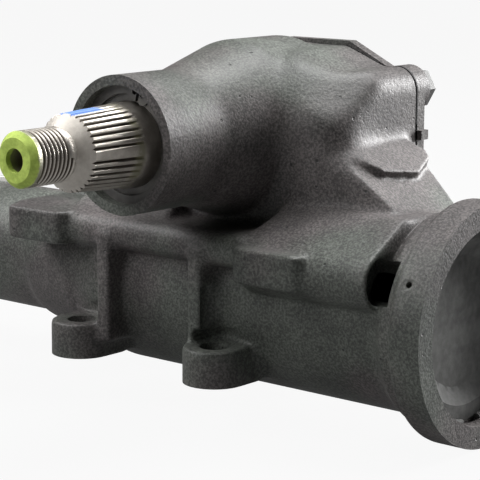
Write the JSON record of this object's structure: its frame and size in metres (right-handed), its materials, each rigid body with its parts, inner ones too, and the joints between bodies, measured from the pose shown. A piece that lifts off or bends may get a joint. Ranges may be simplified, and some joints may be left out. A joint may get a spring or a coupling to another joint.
{
  "type": "steering gearbox",
  "caption": "Recirculating-ball power steering gear: cast housing on frame ears, worm and rack piston inside, toothed sector shaft with serrated threaded output end.",
  "frame": {"origin": "centre of the frame bolt pattern, on the lower face of the ears", "axes": "+X along the worm towards the end plug, -Y along the output end of the sector shaft, +Z away from the frame face"},
  "size_m": [0.3368, 0.214, 0.1583],
  "materials": {
    "painted_casting": "dark grey satin paint on a sand casting",
    "output_steel": "machined, oiled, with paint dabs on tip and serrations",
    "ground_steel": "ground",
    "plain_steel": "machined",
    "blackened_steel": "black phosphate",
    "seal_rubber": "moulded",
    "gasket": "thin black sealing sheet",
    "ring_plastic": "plain",
    "bronze": "plain bearing bronze",
    "brass": "turned"
  },
  "bodies": {
    "housing": {"gear_housing": "painted_casting", "side_cover": "painted_casting", "side_cover_gasket": "gasket", "side_cover_bolts": "painted_casting", "side_cover_bushing": "bronze", "lash_adjuster_screw": "plain_steel", "lash_adjuster_nut": "plain_steel", "sector_bearing_shell": "ground_steel", "sector_bearing_rollers": "ground_steel", "inner_shaft_seal": "seal_rubber", "seal_backup_washer": "plain_steel", "outer_shaft_seal": "seal_rubber", "seal_washer": "blackened_steel", "seal_retaining_ring": "blackened_steel", "end_plug": "painted_casting", "end_plug_seal": "seal_rubber", "end_plug_retaining_ring": "plain_steel", "adjuster_plug": "plain_steel", "adjuster_plug_seal": "seal_rubber", "adjuster_locknut": "plain_steel", "stub_bearing": "ground_steel", "stub_seal": "seal_rubber", "stub_dust_seal": "seal_rubber", "upper_thrust_races": "ground_steel", "upper_thrust_rollers": "ground_steel", "lower_thrust_races": "ground_steel", "lower_thrust_rollers": "ground_steel", "port_seats": "brass"},
    "sector": {"sector_shaft": "output_steel", "lash_adjuster_shim": "ground_steel"},
    "piston": {"rack_piston": "ground_steel", "piston_ring": "ring_plastic", "piston_ring_backup": "seal_rubber", "piston_end_plug": "ground_steel", "track_balls": "ground_steel", "ball_return_guide": "plain_steel", "ball_guide_clamp": "plain_steel", "ball_guide_screws": "plain_steel"},
    "worm": {"worm": "ground_steel", "valve_body": "ground_steel", "valve_body_rings": "ring_plastic", "valve_drive_pin": "ground_steel"},
    "stub": {"stub_shaft": "ground_steel", "torsion_bar": "ground_steel", "valve_spool": "ground_steel", "torsion_bar_pin": "ground_steel"}
  },
  "joints": [
    {"name": "sector_swing", "type": "hinge", "parent": "housing", "child": "sector", "pos_m": [0.021, 0, 0.1015], "axis": [0, -1, 0], "range_deg": [-40, 40]},
    {"name": "piston_slide", "type": "slide", "parent": "housing", "child": "piston", "axis": [1, 0, 0], "range_m": [-0.0295, 0.0295]},
    {"name": "worm_turn", "type": "hinge", "parent": "housing", "child": "worm", "pos_m": [0.021, 0, 0.0315], "axis": [1, 0, 0], "range_deg": [-706, 706]},
    {"name": "stub_twist", "type": "hinge", "parent": "worm", "child": "stub", "pos_m": [-0.129, 0, 0.0315], "axis": [1, 0, 0], "range_deg": [-6, 6], "stiffness_Nm_per_rad": 60}
  ],
  "couplings": [
    {"joint": "piston_slide", "follows": "sector_swing", "m_per_rad": 0.042},
    {"joint": "worm_turn", "follows": "sector_swing", "ratio": -17.593}
  ]
}
